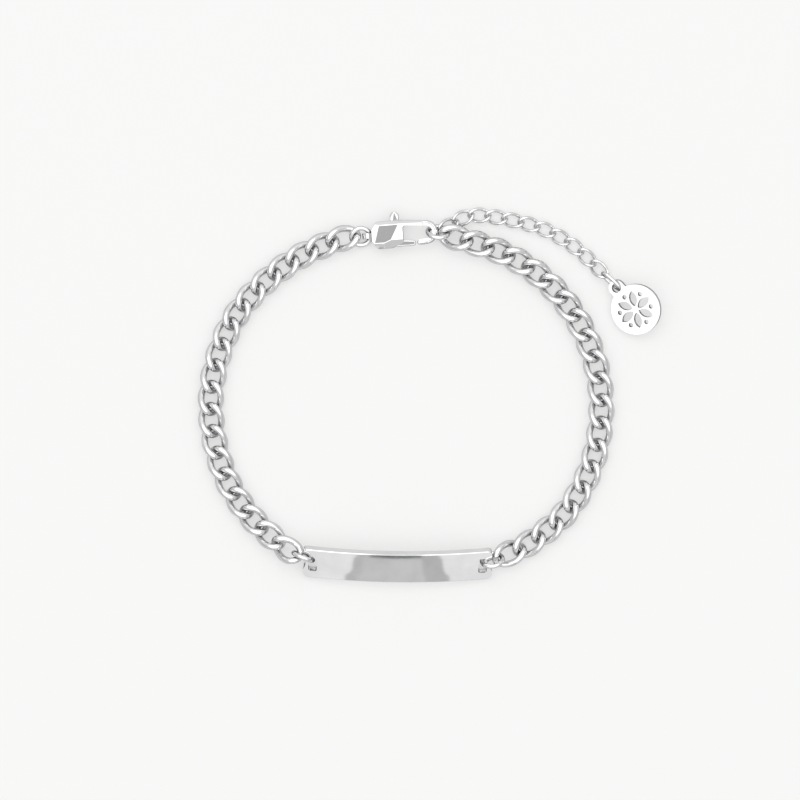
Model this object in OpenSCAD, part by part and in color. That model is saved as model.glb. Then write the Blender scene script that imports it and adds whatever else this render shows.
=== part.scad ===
// Identity bracelet laid flat: a curved name plate, a curb chain on each side of it, a lobster clasp
// with a sprung lever, and an extender chain that ends in a pierced round tag.
// The origin is the centre of the closed loop on the surface that it lies on. The plate is towards -Y,
// the clasp towards +Y, and the extender chain lies outside the loop at +X +Y.

/* [Loop] */
// Width of the closed loop, between the middles of the two chains
loop_w = 60; // [56:0.5:66]
// Depth of the closed loop, from the middle of the clasp to the face of the plate
loop_d = 50.8; // [48:0.2:56]

/* [Plate] */
// Length of the plate
plate_l = 29.2; // [26:0.2:32]
// Height of the plate
plate_h = 5.35; // [5:0.05:6.5]
// Thickness of the plate
plate_t = 1.05; // [0.9:0.05:1.2]
// Radius of the curve along the plate's front
plate_bow_r = 88; // [70:1:120]
// Radius of the plate's corners
plate_corner_r = 0.8; // [0.4:0.1:1.2]
// Chamfer along the long edges of the plate's front
plate_chamfer = 0.2; // [0.1:0.05:0.3]
// How far the plate leans back from upright
plate_lean = 53; // [40:1:60]
// Turn of the plate on the surface
plate_turn = -0.7; // [-3:0.1:3]
// Where the middle of the plate lies along X
plate_x = -1.3; // [-3:0.1:3]
// Width of the slot at each end of the plate
slot_w = 1.3; // [1.2:0.05:1.5]
// Height of the slots
slot_h = 2.7; // [2.5:0.05:3]
// Metal left between a slot and the plate's end
slot_bar = 0.88; // [0.82:0.02:1]
// Depth of the hollow in the plate's end beside a slot
notch_depth = 0.45; // [0.3:0.05:0.5]
// Height of that hollow
notch_h = 2; // [1.6:0.1:2.4]

/* [Curb chain] */
// Wire of the curb links
link_wire = 1; // [0.8:0.05:1.1]
// Overall width of a curb link
link_w = 4.03; // [3.7:0.05:4.4]
// Distance from one curb link to the next
link_pitch = 3.42; // [3.3:0.02:3.6]
// Free play where two curb links hook
link_play = 0.2; // [0.16:0.02:0.26]
// Turn of a link's end out of the flat
link_twist = 48; // [42:1:52]

/* [Rings] */
// Wire of the jump rings
ring_wire = 0.7; // [0.64:0.02:0.76]
// Outer diameter of the jump rings at the plate and at the hook
ring_d = 3.85; // [3.7:0.05:4.1]
// Outer diameter of the jump ring at the clasp's eye
clasp_ring_d = 3.6; // [3.5:0.05:3.8]
// Free play between a ring and what hooks into it
ring_play = 0.12; // [0.1:0.01:0.2]

/* [Clasp] */
// Length of the clasp without its eye
clasp_l = 10.2; // [9.6:0.1:11]
// Height of the clasp at its body
clasp_h = 4.2; // [4:0.05:4.6]
// Thickness of the clasp's body
clasp_t = 2.6; // [2.4:0.05:3]
// Radius of the hook's round end
hook_r = 1.85; // [1.75:0.05:1.95]
// Width of the hook's metal, seen from above
hook_w = 0.84; // [0.76:0.02:0.9]
// Thickness of the hook
hook_t = 0.75; // [0.65:0.05:0.8]
// Turn of the clasp on the surface
clasp_turn = 4; // [0:0.5:8]
// Rise of the clasp towards its hook
clasp_rise = 2.8; // [1.5:0.1:4]
// Radius of the lever's pin
pin_r = 0.35; // [0.3:0.01:0.4]
// Running clearance round that pin
pin_clear = 0.05; // [0.03:0.01:0.08]
// Thickness of the lever
lever_t = 0.9; // [0.8:0.05:1]

/* [Extender chain] */
// Wire of the extender's links
ext_wire = 0.46; // [0.4:0.02:0.48]
// Overall width of an extender link
ext_w = 2.4; // [2.2:0.05:2.7]
// Distance from one extender link to the next
ext_pitch = 2.52; // [2.4:0.02:2.7]
// Free play where two extender links hook
ext_play = 0.2; // [0.18:0.02:0.24]

/* [Tag] */
// Diameter of the tag
tag_d = 7.8; // [7:0.1:9]
// Thickness of the tag
tag_t = 0.8; // [0.7:0.05:0.85]
// Width of the tag's rim
tag_rim = 0.9; // [0.7:0.05:1.1]
// Number of petals cut through the tag
tag_petals = 6; // [5:1:8]
// Radius of the tag's ear
ear_r = 1.22; // [1.16:0.02:1.4]
// Radius of the hole in the ear
ear_hole_r = 0.74; // [0.72:0.01:0.8]
// Wire of the oval ring that holds the tag
tag_ring_wire = 0.55; // [0.5:0.01:0.56]
// Length of that ring
tag_ring_l = 4.1; // [4:0.05:4.3]
// Width of that ring
tag_ring_w = 2.5; // [2.45:0.05:2.6]
// How far the tag leans, its side away from the loop being raised
tag_tilt = 18; // [16:0.5:20]
// How far the tag leans the other way, its ear being raised
tag_nod = 9; // [8:0.5:11]

/* [Hidden] */
$fn = 48;
link_sides = 6;
link_rings = 16;

// Routes of the chains, in shares of the loop's half width and half depth. The third number is the
// height above a chain's resting height, in millimetres.
left_route = [[-0.322, 0.971, 0], [-0.534, 0.867, 0], [-0.717, 0.712, 0], [-0.866, 0.513, 0],
    [-0.959, 0.27, 0], [-1, 0.007, 0], [-0.981, -0.258, 0], [-0.908, -0.514, 0], [-0.781, -0.733, 0.12],
    [-0.606, -0.914, 0.83]];
right_route = [[0.262, 0.972, 0.6], [0.483, 0.889, 0.1], [0.681, 0.75, 0], [0.837, 0.554, 0],
    [0.944, 0.317, 0], [0.998, 0.053, 0], [0.991, -0.217, 0], [0.928, -0.477, 0], [0.808, -0.706, 0],
    [0.632, -0.875, 0.1], [0.525, -0.939, 0.34]];
ext_route = [[0.217, 1.045, 0.04], [0.303, 1.1, 0], [0.39, 1.11, 0], [0.557, 1.078, 0], [0.721, 1.02, 0],
    [0.865, 0.919, 0], [0.985, 0.79, 0.14]];

// Half length and half width of a link's middle line, for the distance between two links
function half_length(pitch, wire, play) = (pitch + wire + play) / 2;
link_b = (link_w - link_wire) / 2;
ext_b = (ext_w - ext_wire) / 2;
ring_r = (ring_d - ring_wire) / 2;
clasp_ring_r = (clasp_ring_d - ring_wire) / 2;
tag_ring_a = (tag_ring_l - tag_ring_wire) / 2;
tag_ring_b = (tag_ring_w - tag_ring_wire) / 2;

function unit(v) = v / norm(v);

// A link's middle line is a rounded oblong, and its two sides turn about its long axis
squareness = 2.4;
function rounded(c) = sign(c) * pow(abs(c), 2 / squareness);
function loop_point(a, b, twist, u) =
    let (x = rounded(cos(u)), r = b * rounded(sin(u)), t = -twist * x)
    [a * x, r * cos(t), r * sin(t)];

// Height of a link's axis above what it lies on
function rest_height(b, wire) =
    max([for (u = [90 : 2 : 180]) loop_point(1, b, link_twist, u)[2]]) + wire / 2 + 0.01;
link_z = rest_height(link_b, link_wire);
ext_z = rest_height(ext_b, ext_wire);

// Catmull-Rom curve through a list of points, as many short steps
route_steps = 12;
function knot(p, i) = p[max(0, min(len(p) - 1, i))];
function between(a, b, c, d, t) =
    0.5 * (2 * b + (c - a) * t + (2 * a - 5 * b + 4 * c - d) * t * t + (3 * b - a - 3 * c + d) * t * t * t);
function curve(p) = [
    for (i = [0 : len(p) - 2], k = [0 : route_steps - 1])
        between(knot(p, i - 1), knot(p, i), knot(p, i + 1), knot(p, i + 2), k / route_steps),
    p[len(p) - 1]
];
function lengths(c, i = 1, sum = [0]) =
    i == len(c) ? sum : lengths(c, i + 1, concat(sum, [sum[i - 1] + norm(c[i] - c[i - 1])]));
function along(c, s, at, i = 1) =
    at <= s[i] || i == len(c) - 1
        ? c[i - 1] + (c[i] - c[i - 1]) * (at - s[i - 1]) / (s[i] - s[i - 1])
        : along(c, s, at, i + 1);

// Positions of the links of a chain: each is [centre, direction, half length]
function link_count(total, pitch) = max(2, round(total / pitch) + 1);
function chain_links(points, rest, from, to, pitch, wire, play) =
    let (
        c = [for (p = curve(points)) [p[0], p[1], max(rest, p[2])]],
        s = lengths(c),
        total = s[len(s) - 1] - from - to,
        n = link_count(total, pitch),
        step = total / (n - 1)
    )
    [for (i = [0 : n - 1]) [
        along(c, s, from + i * step),
        unit(along(c, s, from + i * step + step / 2) - along(c, s, max(0, from + i * step - step / 2))),
        half_length(step, wire, play)
    ]];

// Distance from a ring's centre to the centre of the link that hooks into it
function reach(r, ring_wire, pitch, wire, play) =
    r + half_length(pitch, wire, play) - (ring_wire + wire) / 2 - ring_play;
ring_reach = reach(ring_r, ring_wire, link_pitch, link_wire, link_play);
clasp_ring_reach = reach(clasp_ring_r, ring_wire, link_pitch, link_wire, link_play);
tag_reach = reach(tag_ring_a, tag_ring_wire, ext_pitch, ext_wire, ext_play);

// Clasp, in its own frame: X along it towards the hook, Y towards the thumb piece, Z its thickness
body_end = -clasp_l / 2;
hook_x = clasp_l / 2 - hook_r;
window_x = body_end + 4.85;
window_end_x = clasp_l / 2 - hook_w;
window_r = hook_r - hook_w;
window_h = clasp_h / 2 - 0.9;
slope_x = window_x - 1.38;
slope_end_x = window_x + 2.45;
end_slope_l = 0.77;
end_slope_h = 0.22;
eye_r = 1.02;
eye_hole_r = 0.72;
eye_w = 0.85;
eye_x = body_end - 0.4;
clasp_at = [-0.2, loop_d / 2, clasp_t / 2 + clasp_l / 2 * sin(clasp_rise)];
pivot = [window_x - 1.65, -clasp_h / 2 + 1.3];
boss_r = 0.8;
lever_clear = 0.08;
pin_fit = 0.02;
pin_cover = 0.35;
gate_w = 0.84;
gate_tip = [window_x + 1.48, -clasp_h / 2 + 0.57];
gate_gap = 0.14;
tip_r = 0.43;
tip_at = [gate_tip[0] + gate_w / 2 + gate_gap + tip_r, gate_tip[1] + 0.03];
thumb_r = 0.68;
thumb_at = [pivot[0] + 0.48, clasp_h / 2 + 0.66];

function turn_z(p, a) = [p[0] * cos(a) - p[1] * sin(a), p[0] * sin(a) + p[1] * cos(a), p[2]];
function turn_y(p, a) = [p[0] * cos(a) + p[2] * sin(a), p[1], p[2] * cos(a) - p[0] * sin(a)];
function turn_x(p, a) = [p[0], p[1] * cos(a) - p[2] * sin(a), p[1] * sin(a) + p[2] * cos(a)];
function clasp_point(p) = clasp_at + turn_z(turn_y(p, -clasp_rise), clasp_turn);

// Plate, in its own frame: X along it, Z up it, its front towards -Y and its ends' front at Y = 0
plate_half_angle = plate_l / 2 / plate_bow_r * 180 / PI;
plate_end_y = plate_bow_r * cos(plate_half_angle);
slot_x = plate_l / 2 - slot_bar - slot_w / 2;
plate_lift = plate_t * sin(plate_lean) + plate_h / 2 * cos(plate_lean);
plate_at = [plate_x, -loop_d / 2, plate_lift];
plate_cut = 4 * (plate_t + plate_bow_r - plate_end_y);
function plate_point(p) = plate_at + turn_z(turn_x(p, -plate_lean), plate_turn);
slot_y = plate_end_y - (plate_bow_r - plate_t / 2) * cos(slot_x / plate_bow_r * 180 / PI);

// Jump rings: centre, and the turns about their own X, Y and Z
clasp_ring_turn = [28, -3.8, clasp_turn + 7];
clasp_ring_at = clasp_point([eye_x - clasp_ring_r + 0.19, 0, 0.06]);
end_ring_turn = [-56, -5.5, clasp_turn - 12];
end_ring_at = clasp_point([window_end_x - ring_wire / 2 - ring_play + ring_r - 0.24, -0.16, -0.12]);
left_ring_turn = [-85, -2.4, -21.4];
right_ring_turn = [-53, 3.9, 12];
function ring_arm(turn) = turn_z(turn_y([ring_r, 0, 0], turn[1]), turn[2]);
left_ring_at = plate_point([0.04 - slot_x, slot_y, 0.31]) - ring_arm(left_ring_turn);
right_ring_at = plate_point([slot_x - 0.06, slot_y, 0.35]) + ring_arm(right_ring_turn);

// How far the last links' middles are held up by the rings at their ends
left_hold = 1.63;
right_hold = 1.18;
tag_hold = 0.9;
function on_loop(p, z) = [p[0] * loop_w / 2, p[1] * loop_d / 2, z + p[2]];
function flat(p, z) = [p[0], p[1], z];

left_links = chain_links(
    concat(
        [flat(clasp_ring_at, link_z)],
        [for (p = left_route) on_loop(p, link_z)],
        [flat(left_ring_at, link_z + left_hold)]),
    link_z, clasp_ring_reach, ring_reach, link_pitch, link_wire, link_play);
right_links = chain_links(
    concat(
        [flat(end_ring_at, link_z)],
        [for (p = right_route) on_loop(p, link_z)],
        [flat(right_ring_at, link_z + right_hold)]),
    link_z, ring_reach, ring_reach, link_pitch, link_wire, link_play);
// Turn of the last left link about its own length
last_left_roll = 13.6;

// Tag: the middle of its ear's hole, and the tag's centre from there
tag_turn = 131;
ear_x = tag_d / 2 + 0.55;
function tag_lean(p) = turn_y(turn_x(turn_z(p, tag_turn), tag_nod), -tag_tilt);
ear_arm = tag_lean([ear_x, 0, 0]);
tag_level = cos(tag_tilt) * cos(tag_nod);
tag_slope = sqrt(1 - tag_level * tag_level);
tag_z = max(tag_d / 2 * tag_slope, ear_r * tag_slope - ear_arm[2]) + tag_t / 2 * tag_level + 0.02;
tag_at = on_loop([1.087, 0.674, 0], tag_z) - [ear_arm[0], ear_arm[1], 0];
ear_at = tag_at + ear_arm;
tag_ring_turn = [75, -3, -42.5];
tag_ring_at = ear_at + tag_lean([-0.37, -0.03, -0.07])
    - turn_z(turn_y([tag_ring_a, 0, 0], tag_ring_turn[1]), tag_ring_turn[2]);
ext_links = chain_links(
    concat([for (p = ext_route) on_loop(p, ext_z)], [flat(tag_ring_at, ext_z + tag_hold)]),
    ext_z, 0, tag_reach, ext_pitch, ext_wire, ext_play);

petal_tip_r = tag_d / 2 - tag_rim - 0.1;
petal_root_r = 0.5;
petal_w = 1.25;
dot_r = 0.36;
left_nodes = [for (i = [1 : len(left_links)]) str("link_left_", i)];
right_nodes = [for (i = [1 : len(right_links)]) str("link_right_", i)];

// A closed loop of wire along that middle line
function loop_section(a, b, twist, wire, u) =
    let (
        c = loop_point(a, b, twist, u),
        along_wire = unit(loop_point(a, b, twist, u + 3) - loop_point(a, b, twist, u - 3)),
        t = -twist * rounded(cos(u)),
        face = [0, -sin(t), cos(t)],
        up = unit(face - along_wire * (face * along_wire)),
        side = cross(along_wire, up)
    )
    [for (k = [0 : link_sides - 1])
        c + wire / 2 * (side * cos(360 * k / link_sides) + up * sin(360 * k / link_sides))];

module wire_loop(a, b, twist, wire) {
    points = [for (i = [0 : link_rings - 1]) each loop_section(a, b, twist, wire, 360 * i / link_rings)];
    function at(i, k) = (i % link_rings) * link_sides + k % link_sides;
    polyhedron(points, [
        for (i = [0 : link_rings - 1], k = [0 : link_sides - 1], half = [0, 1])
            half == 0
                ? [at(i, k), at(i, k + 1), at(i + 1, k + 1)]
                : [at(i, k), at(i + 1, k + 1), at(i + 1, k)]
    ]);
}

module place_link(link) {
    d = link[1];
    translate(link[0])
        rotate([0, -asin(d[2]), atan2(d[1], d[0])])
            children();
}

module curb_link(link, roll = 0) {
    color("silver")
        place_link(link)
            rotate([roll, 0, 0])
                wire_loop(link[2], link_b, link_twist, link_wire);
}

module extender_chain() {
    color("silver")
        for (link = ext_links)
            place_link(link)
                wire_loop(link[2], ext_b, link_twist, ext_wire);
}

module jump_ring(at, turn, r = ring_r) {
    color("silver")
        translate(at)
            rotate(turn)
                rotate_extrude()
                    translate([r, 0])
                        circle(ring_wire / 2);
}

module clasp_ring() {
    jump_ring(clasp_ring_at, clasp_ring_turn, clasp_ring_r);
}

module end_ring() {
    jump_ring(end_ring_at, end_ring_turn);
}

module plate_ring_left() {
    jump_ring(left_ring_at, left_ring_turn);
}

module plate_ring_right() {
    jump_ring(right_ring_at, right_ring_turn);
}

module round_rect(w, h, r) {
    square([w - 2 * r, h], center = true);
    square([w, h - 2 * r], center = true);
    for (x = [-1, 1], y = [-1, 1])
        translate([x * (w / 2 - r), y * (h / 2 - r)])
            circle(r);
}

module through_plate(x) {
    translate([x, 0, 0])
        rotate([90, 0, 0])
            linear_extrude(plate_cut, center = true)
                children();
}

module id_plate() {
    inner_r = plate_bow_r - plate_t;
    color("silver")
        translate(plate_at)
            rotate([-plate_lean, 0, plate_turn])
                difference() {
                    intersection() {
                        translate([0, plate_end_y, 0])
                            rotate([0, 0, -90 - plate_half_angle])
                                rotate_extrude(angle = 2 * plate_half_angle, $fn = 360)
                                    polygon([
                                        [inner_r, -plate_h / 2],
                                        [plate_bow_r - plate_chamfer, -plate_h / 2],
                                        [plate_bow_r, -plate_h / 2 + plate_chamfer],
                                        [plate_bow_r, plate_h / 2 - plate_chamfer],
                                        [plate_bow_r - plate_chamfer, plate_h / 2],
                                        [inner_r, plate_h / 2]
                                    ]);
                        through_plate(0)
                            round_rect(2 * plate_bow_r * sin(plate_half_angle), plate_h, plate_corner_r);
                    }
                    for (side = [-1, 1]) {
                        through_plate(side * slot_x)
                            round_rect(slot_w, slot_h, 0.3);
                        through_plate(side * (plate_l / 2 + notch_h - notch_depth))
                            circle(notch_h);
                    }
                }
}

// Everything below is in the clasp's own frame
module in_clasp() {
    translate(clasp_at)
        rotate([0, -clasp_rise, clasp_turn])
            children();
}

module clasp_outline() {
    corner = 0.75;
    polygon([
        [body_end, -clasp_h / 2 + 1.3 * corner], [body_end + corner, -clasp_h / 2],
        [window_x, -clasp_h / 2], [hook_x, -hook_r], [hook_x, hook_r],
        [window_x, clasp_h / 2 - 0.05], [body_end + corner, clasp_h / 2],
        [body_end, clasp_h / 2 - 1.3 * corner]
    ]);
    translate([hook_x, 0])
        circle(hook_r);
}

module clasp_window() {
    corner = 0.4;
    translate([hook_x, 0])
        circle(window_r);
    polygon([
        [window_x, corner - window_h], [window_x + corner, -window_h], [hook_x, -window_r],
        [hook_x, window_r], [window_x + corner, window_h], [window_x, window_h - corner]
    ]);
    for (y = [-1, 1])
        translate([window_x + corner, y * (window_h - corner)])
            circle(corner);
}

// The stretch of the frame that the gate fills, and the space in which the lever swings
module gate_cut() {
    translate([window_x - 0.1, -clasp_h])
        square([tip_at[0] - window_x + 0.1, clasp_h - window_r / 2]);
}

module lever_space() {
    polygon([
        [pivot[0] - boss_r - 0.15, -clasp_h], [window_x + 0.1, -clasp_h], [window_x + 0.1, pivot[1] + 0.65],
        [thumb_at[0] + thumb_r + 0.11, pivot[1] + 0.65], [thumb_at[0] + thumb_r + 0.11, clasp_h],
        [pivot[0] - boss_r - 1.5, clasp_h], [pivot[0] - boss_r - 0.15, pivot[1]]
    ]);
}

// Side view of the body: thick over the pin, sloping down beside the window to the hook's thickness
module clasp_side() {
    polygon([
        [body_end, clasp_t / 2 - end_slope_h], [body_end + end_slope_l, clasp_t / 2],
        [slope_x, clasp_t / 2], [slope_end_x, hook_t / 2], [clasp_l, hook_t / 2],
        [clasp_l, -hook_t / 2], [slope_end_x, -hook_t / 2], [slope_x, -clasp_t / 2],
        [body_end + end_slope_l, -clasp_t / 2], [body_end, end_slope_h - clasp_t / 2]
    ]);
}

// End view of the body: bevelled along both long sides
module clasp_end() {
    upper = 0.62;
    lower = 0.85;
    edge = clasp_t / 2 - 0.45;
    polygon([
        [-clasp_h / 2, -edge], [lower - clasp_h / 2, -clasp_t / 2], [clasp_h / 2 - upper, -clasp_t / 2],
        [clasp_h / 2, -edge], [clasp_h / 2, edge], [clasp_h / 2 - upper, clasp_t / 2],
        [lower - clasp_h / 2, clasp_t / 2], [-clasp_h / 2, edge]
    ]);
}

module clasp_eye() {
    rotate([90, 0, 0])
        linear_extrude(eye_w, center = true) {
            translate([eye_x, 0])
                circle(eye_r);
            translate([eye_x, -eye_r])
                square([eye_r, 2 * eye_r]);
        }
}

module clasp_body() {
    pocket_t = lever_t + 2 * lever_clear;
    color("silver")
        in_clasp()
            difference() {
                union() {
                    intersection() {
                        linear_extrude(clasp_t, center = true)
                            union() {
                                difference() {
                                    clasp_outline();
                                    clasp_window();
                                    gate_cut();
                                }
                                translate(tip_at)
                                    circle(tip_r);
                            }
                        rotate([90, 0, 0])
                            linear_extrude(2 * clasp_h, center = true)
                                clasp_side();
                        rotate([90, 0, 90])
                            linear_extrude(2 * clasp_l, center = true)
                                clasp_end();
                    }
                    clasp_eye();
                }
                linear_extrude(pocket_t, center = true)
                    lever_space();
                translate([pivot[0], pivot[1], -clasp_t])
                    cylinder(h = clasp_t * 1.5 - pin_cover + pin_fit, r = pin_r + pin_fit);
                translate([eye_x, 0, 0])
                    rotate([90, 0, 0])
                        cylinder(h = clasp_h, r = eye_hole_r, center = true);
            }
}

module clasp_lever() {
    color("silver")
        in_clasp()
            linear_extrude(lever_t, center = true)
                difference() {
                    union() {
                        translate(pivot)
                            circle(boss_r);
                        translate(thumb_at)
                            circle(thumb_r);
                        translate(gate_tip)
                            circle(gate_w / 2);
                        polygon([
                            [pivot[0] - 0.2, pivot[1]], [pivot[0] + 0.7, pivot[1]],
                            [thumb_at[0] + thumb_r, thumb_at[1]], [thumb_at[0] - thumb_r, thumb_at[1]]
                        ]);
                        polygon([
                            [pivot[0], pivot[1] - boss_r], [pivot[0] + 0.6, gate_tip[1] - gate_w / 2],
                            [gate_tip[0], gate_tip[1] - gate_w / 2], [gate_tip[0], gate_tip[1] + gate_w / 2],
                            [pivot[0] + boss_r, gate_tip[1] + gate_w / 2], [pivot[0] + 0.7, pivot[1]]
                        ]);
                    }
                    translate(pivot)
                        circle(pin_r + pin_clear);
                }
}

module clasp_rivet() {
    color("silver")
        in_clasp()
            translate([pivot[0], pivot[1], -clasp_t / 2])
                cylinder(h = clasp_t - pin_cover, r = pin_r);
}

module tag_ring() {
    color("silver")
        translate(tag_ring_at)
            rotate(tag_ring_turn)
                wire_loop(tag_ring_a, tag_ring_b, 0, tag_ring_wire);
}

// A petal is the lens between two arcs that meet at its root and its tip
module petal() {
    half = (petal_tip_r - petal_root_r) / 2;
    arc_r = (half * half + petal_w * petal_w / 4) / petal_w;
    intersection_for(side = [-1, 1])
        translate([petal_root_r + half, side * (arc_r - petal_w / 2)])
            circle(arc_r, $fn = 96);
}

module tag() {
    color("silver")
        translate(tag_at)
            rotate([tag_nod, -tag_tilt, 0])
                rotate([0, 0, tag_turn])
                    linear_extrude(tag_t, center = true)
                        difference() {
                            union() {
                                circle(tag_d / 2, $fn = 96);
                                translate([ear_x, 0])
                                    circle(ear_r);
                                translate([0, -ear_r])
                                    square([ear_x - 0.9 * ear_r, 2 * ear_r]);
                            }
                            translate([ear_x, 0])
                                circle(ear_hole_r);
                            for (i = [0 : tag_petals - 1]) {
                                rotate(360 * (i + 0.5) / tag_petals)
                                    petal();
                                rotate(360 * i / tag_petals)
                                    translate([petal_tip_r - dot_r, 0])
                                        circle(dot_r);
                            }
                        }
}

id_plate();
plate_ring_left();
plate_ring_right();
clasp_body();
clasp_lever();
clasp_rivet();
clasp_ring();
end_ring();
extender_chain();
tag_ring();
tag();
for (i = [1 : len(left_links)])
    curb_link(left_links[i - 1], i == len(left_links) ? last_left_roll : 0);
for (i = [1 : len(right_links)])
    curb_link(right_links[i - 1]);
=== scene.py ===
# %% [markdown]
# # A silver identity bracelet, modelled over its CAD model
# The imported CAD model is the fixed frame: it says where each link, ring, the clasp, the plate and the
# tag lie, to a hundredth of a millimetre. Each of its nodes is stood in for here by a piece with the
# finish of the real one, such as round wire, softened edges and polished silver.
# Nothing about the sizes changes. Links and rings read their places from the nodes that they replace, and
# the plate, the clasp and the tag are set down where the CAD model's own source has them.

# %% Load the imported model
import math

import bpy
import numpy as np
from mathutils import Matrix, Vector


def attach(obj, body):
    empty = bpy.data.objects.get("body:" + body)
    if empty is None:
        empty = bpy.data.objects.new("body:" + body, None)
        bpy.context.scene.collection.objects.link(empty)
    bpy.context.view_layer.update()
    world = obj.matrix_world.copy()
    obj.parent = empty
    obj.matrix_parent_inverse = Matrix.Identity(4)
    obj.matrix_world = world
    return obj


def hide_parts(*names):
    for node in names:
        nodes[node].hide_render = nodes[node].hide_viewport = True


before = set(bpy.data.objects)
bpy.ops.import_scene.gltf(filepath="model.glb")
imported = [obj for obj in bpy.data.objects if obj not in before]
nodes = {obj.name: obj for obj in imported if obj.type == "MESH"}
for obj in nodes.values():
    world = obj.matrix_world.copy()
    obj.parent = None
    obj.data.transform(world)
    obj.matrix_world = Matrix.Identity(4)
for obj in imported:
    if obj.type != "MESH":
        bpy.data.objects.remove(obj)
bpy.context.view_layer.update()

# %% [markdown]
# ## The camera
# A catalogue photograph of jewellery that lies flat is taken straight from above, with a long lens far
# away, so that nothing is drawn out towards the picture's edges. The field is 123 mm wide, and the
# middle of the loop lies a little right of the picture's middle and a hair above it.

# %% Put the camera straight above the bracelet
field_width = 0.12308
camera_height = 1.0
bpy.ops.object.select_all(action="DESELECT")
bpy.ops.object.camera_add(location=(-0.000923, -0.0002, camera_height), rotation=(0, 0, 0))
camera = bpy.context.object
camera.name = "camera_overhead"
camera.data.sensor_width = 36
camera.data.lens = 36 * (camera_height - 0.001) / field_width
bpy.context.scene.camera = camera
print("camera:", camera.name, "lens", round(camera.data.lens, 1), "mm")

# %% [markdown]
# ## Helpers for the bench
# The parts are millimetres across, and many of Blender's tools have limits that suit things of a metre.
# So each piece is modelled at a thousand times life size, in units of a millimetre, in a frame of its
# own. Its mesh is then scaled down and set in place, while the object itself stays at the origin.
# Smooth shading hides the small flats of a round form. The Weighted Normal modifier then lets the large
# faces lead, so that a flat face next to a soft edge mirrors the room without bending it.

# %% Set a finished piece in its place
MM = 0.001


def settle(piece, place=Matrix.Identity(4), angle=30):
    """Scales a piece from millimetres to metres and moves its mesh to its place."""
    piece.data.transform(place @ Matrix.Scale(MM, 4))
    only(piece)
    bpy.ops.object.shade_smooth_by_angle(angle=math.radians(angle))
    bpy.ops.object.modifier_add(type="WEIGHTED_NORMAL")
    piece.modifiers[-1].keep_sharp = True
    bpy.ops.object.modifier_apply(modifier=piece.modifiers[-1].name)
    return piece


def only(piece):
    """Makes a piece the one that the next operator acts on."""
    bpy.ops.object.select_all(action="DESELECT")
    piece.select_set(True)
    bpy.context.view_layer.objects.active = piece


def place_of(x, y, z, *turns):
    """The matrix that turns about each axis named in turn, and then moves by millimetres."""
    turned = Matrix.Identity(4)
    for axis, degrees in turns:
        turned = Matrix.Rotation(math.radians(degrees), 4, axis) @ turned
    return Matrix.Translation(Vector((x, y, z)) * MM) @ turned


print("bench ready")

# %% [markdown]
# ## Picking by place
# By hand one would click on the faces to shape. A script picks them by where they lie and which way they
# point, which still holds when a size changes, while a list of face numbers would not.

# %% Pick faces or points in edit mode
def pick(piece, kind, test):
    """Goes into edit mode with only those faces or points selected whose place and normal pass the test."""
    only(piece)
    bpy.ops.object.mode_set(mode="EDIT")
    bpy.ops.mesh.select_mode(type=kind)
    bpy.ops.mesh.select_all(action="DESELECT")
    bpy.ops.object.mode_set(mode="OBJECT")
    found = 0
    if kind == "FACE":
        for face in piece.data.polygons:
            face.select = bool(test(face.center, face.normal))
            found += face.select
    else:
        for point in piece.data.vertices:
            point.select = bool(test(point.co, point.normal))
            found += point.select
    bpy.ops.object.mode_set(mode="EDIT")
    return found


def done():
    """Leaves edit mode."""
    bpy.ops.object.mode_set(mode="OBJECT")


def outwards(piece):
    """Merges doubles and turns the faces outwards."""
    only(piece)
    bpy.ops.object.mode_set(mode="EDIT")
    bpy.ops.mesh.select_all(action="SELECT")
    bpy.ops.mesh.remove_doubles(threshold=0.0005)
    bpy.ops.mesh.normals_make_consistent(inside=False)
    done()


print("edit tools ready")

# %% [markdown]
# ## Saw, solder and file
# Metal is sawn, soldered and filed. Here a Boolean modifier saws and solders, a Bevel modifier breaks the
# sharp edges, and a bisect through the mesh files a flat. Each modifier is applied at once, so that the
# next step works on real faces.

# %% Cut, join and soften pieces with modifiers
def apply(piece, kind, **settings):
    """Adds a modifier with these settings and applies it."""
    only(piece)
    bpy.ops.object.modifier_add(type=kind)
    modifier = piece.modifiers[-1]
    for name, value in settings.items():
        setattr(modifier, name, value)
    bpy.ops.object.modifier_apply(modifier=modifier.name)


def combine(piece, other, how):
    """Boolean of two pieces: DIFFERENCE, UNION or INTERSECT. The other piece is used up."""
    apply(piece, "BOOLEAN", object=other, operation=how, solver="EXACT")
    bpy.data.objects.remove(other)


def soften(piece, width, steps=3, angle=30):
    """Rounds the edges that turn by more than an angle in degrees."""
    apply(piece, "BEVEL", width=width, segments=steps, limit_method="ANGLE",
          angle_limit=math.radians(angle), harden_normals=False, use_clamp_overlap=True)


def halve(piece, point, normal):
    """Bisects a piece, throws away the side that the normal points to, and closes the cut."""
    only(piece)
    bpy.ops.object.mode_set(mode="EDIT")
    bpy.ops.mesh.select_all(action="SELECT")
    bpy.ops.mesh.bisect(plane_co=point, plane_no=normal, use_fill=True, clear_outer=True, threshold=0.0001)
    done()


def file_both(piece, point, slope):
    """Files the same flat on the upper and the lower side of a piece."""
    for face in (-1, 1):
        facing = Vector((slope[0], slope[1], face * slope[2])).normalized()
        halve(piece, (point[0], point[1], face * point[2]), facing)


print("modifiers ready")

# %% [markdown]
# ## Blocks, rods and hulls
# Cast pieces such as the clasp and its lever have outlines of straight runs between round ends. A convex
# hull draws them quickly: put a rod where each round end is, and pull one skin over all of them.

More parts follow.
